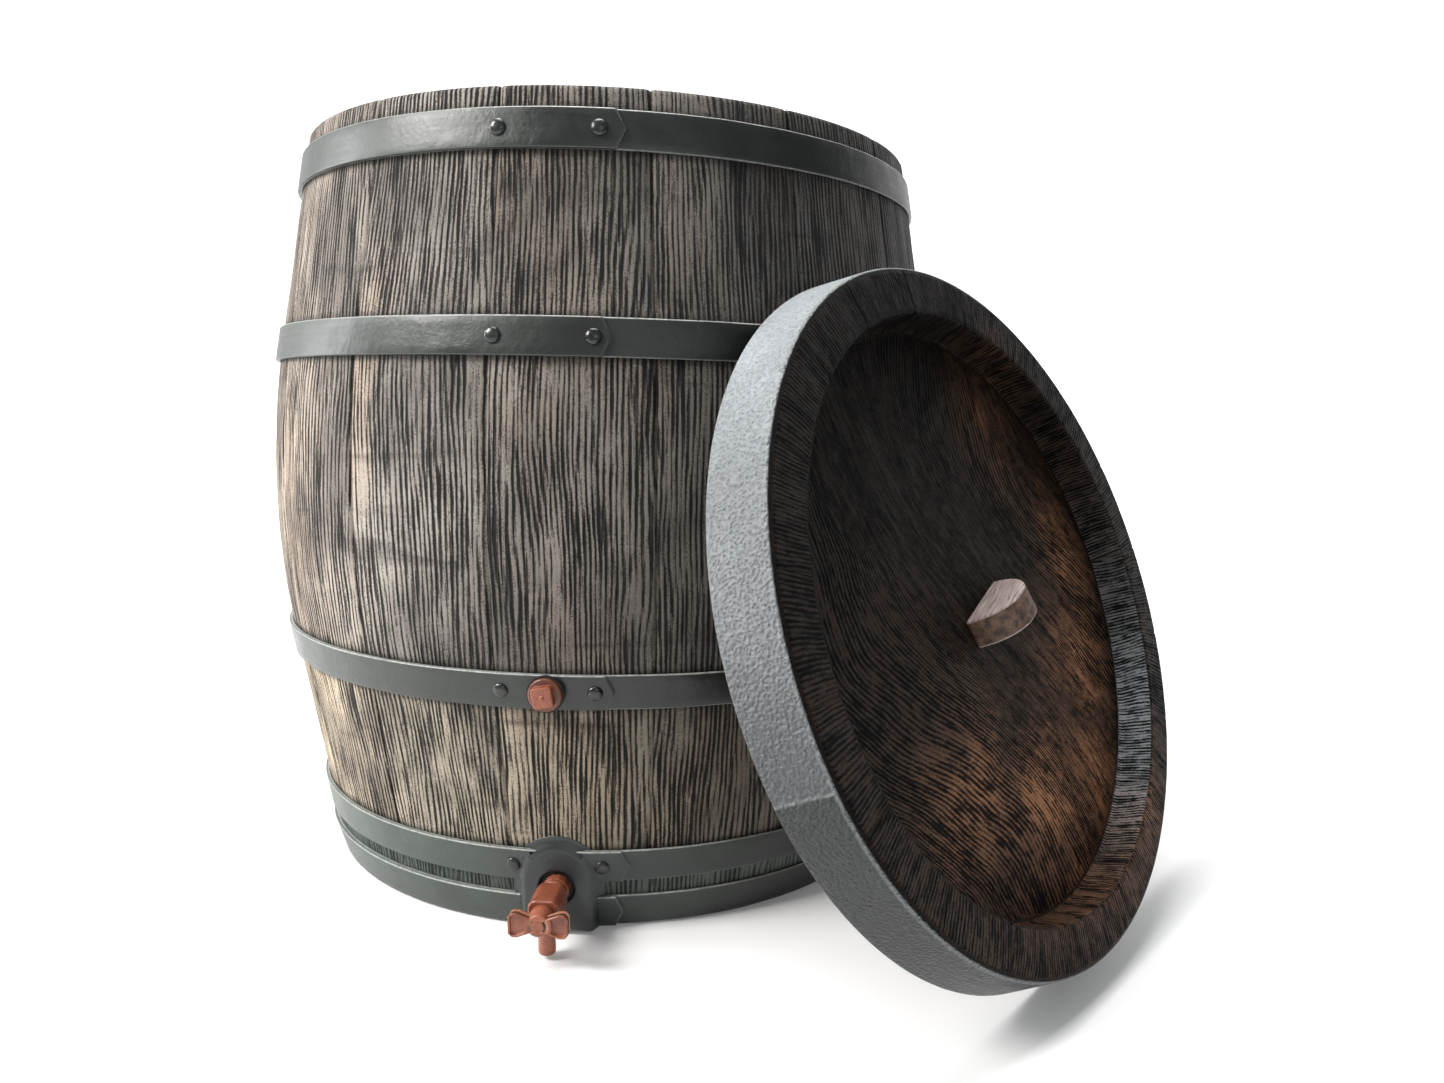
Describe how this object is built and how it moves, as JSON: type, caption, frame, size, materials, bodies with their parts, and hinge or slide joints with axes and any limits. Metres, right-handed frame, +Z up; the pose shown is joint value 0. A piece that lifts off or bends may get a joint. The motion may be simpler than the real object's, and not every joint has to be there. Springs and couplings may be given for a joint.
{
  "type": "rain barrel",
  "caption": "Round cask-shaped water butt with bands, a quarter-turn drain tap, a screw plug and a dished lift-off lid leaning on its side.",
  "frame": {"origin": "middle of the cask's underside, on the floor", "axes": "+Z up; -Y towards the tap and plug, which is the cask's front; +X to the right seen from the front, where the lid leans"},
  "size_m": [0.7482, 0.7117, 0.563],
  "materials": {
    "stave_plastic": "wood-grain moulded, matt",
    "strap_plastic": "satin, worn along the edges",
    "rivet_plastic": "satin",
    "housing_plastic": "satin",
    "copper_plastic": "copper-coloured, semi-gloss",
    "black_rubber": "matt",
    "nut_plastic": "matt",
    "screw_steel": "plain",
    "lid_plastic": "wood-grain moulded, matt",
    "lid_band_plastic": "pebbled, satin",
    "grip_plastic": "wood-grain moulded, matt"
  },
  "bodies": {
    "cask": {"barrel_shell": "stave_plastic", "hoop_top": "strap_plastic", "hoop_upper": "strap_plastic", "hoop_lower": "strap_plastic", "hoop_bottom": "strap_plastic", "base_band": "strap_plastic", "hoop_top_rivets": "rivet_plastic", "hoop_upper_rivets": "rivet_plastic", "hoop_lower_rivets": "rivet_plastic", "hoop_bottom_rivets": "rivet_plastic", "tap_housing": "housing_plastic", "tap_gasket": "black_rubber", "tap_body": "copper_plastic", "tap_inner_washer": "black_rubber", "tap_back_nut": "nut_plastic", "plug_inner_washer": "black_rubber", "plug_back_nut": "nut_plastic"},
    "tap_rotor": {"tap_valve": "copper_plastic", "tap_o_ring": "black_rubber", "tap_handle": "copper_plastic", "tap_handle_screw": "screw_steel"},
    "plug_seal": {"plug_washer": "black_rubber"},
    "plug": {"drain_plug": "copper_plastic"},
    "lid": {"lid_shell": "lid_plastic", "lid_band": "lid_band_plastic", "lid_handle": "grip_plastic", "lid_handle_screws": "screw_steel"}
  },
  "joints": [
    {"name": "lid_lift_off", "type": "slide", "parent": "cask", "child": "lid", "axis": [0.7312, -0.5733, 0.3697], "range_m": [0, 0.3]},
    {"name": "tap_turn", "type": "hinge", "parent": "cask", "child": "tap_rotor", "pos_m": [0, -0.3, 0.036], "axis": [0, 1, 0], "range_deg": [0, 90]},
    {"name": "plug_slide", "type": "slide", "parent": "cask", "child": "plug_seal", "axis": [0, -1, 0], "range_m": [0, 0.025]},
    {"name": "plug_turn", "type": "hinge", "parent": "plug_seal", "child": "plug", "pos_m": [0, -0.28, 0.18425], "axis": [0, -1, 0], "range_deg": [0, 3600]}
  ],
  "couplings": [
    {"joint": "plug_slide", "follows": "plug_turn", "m_per_rad": 0.00039789}
  ]
}
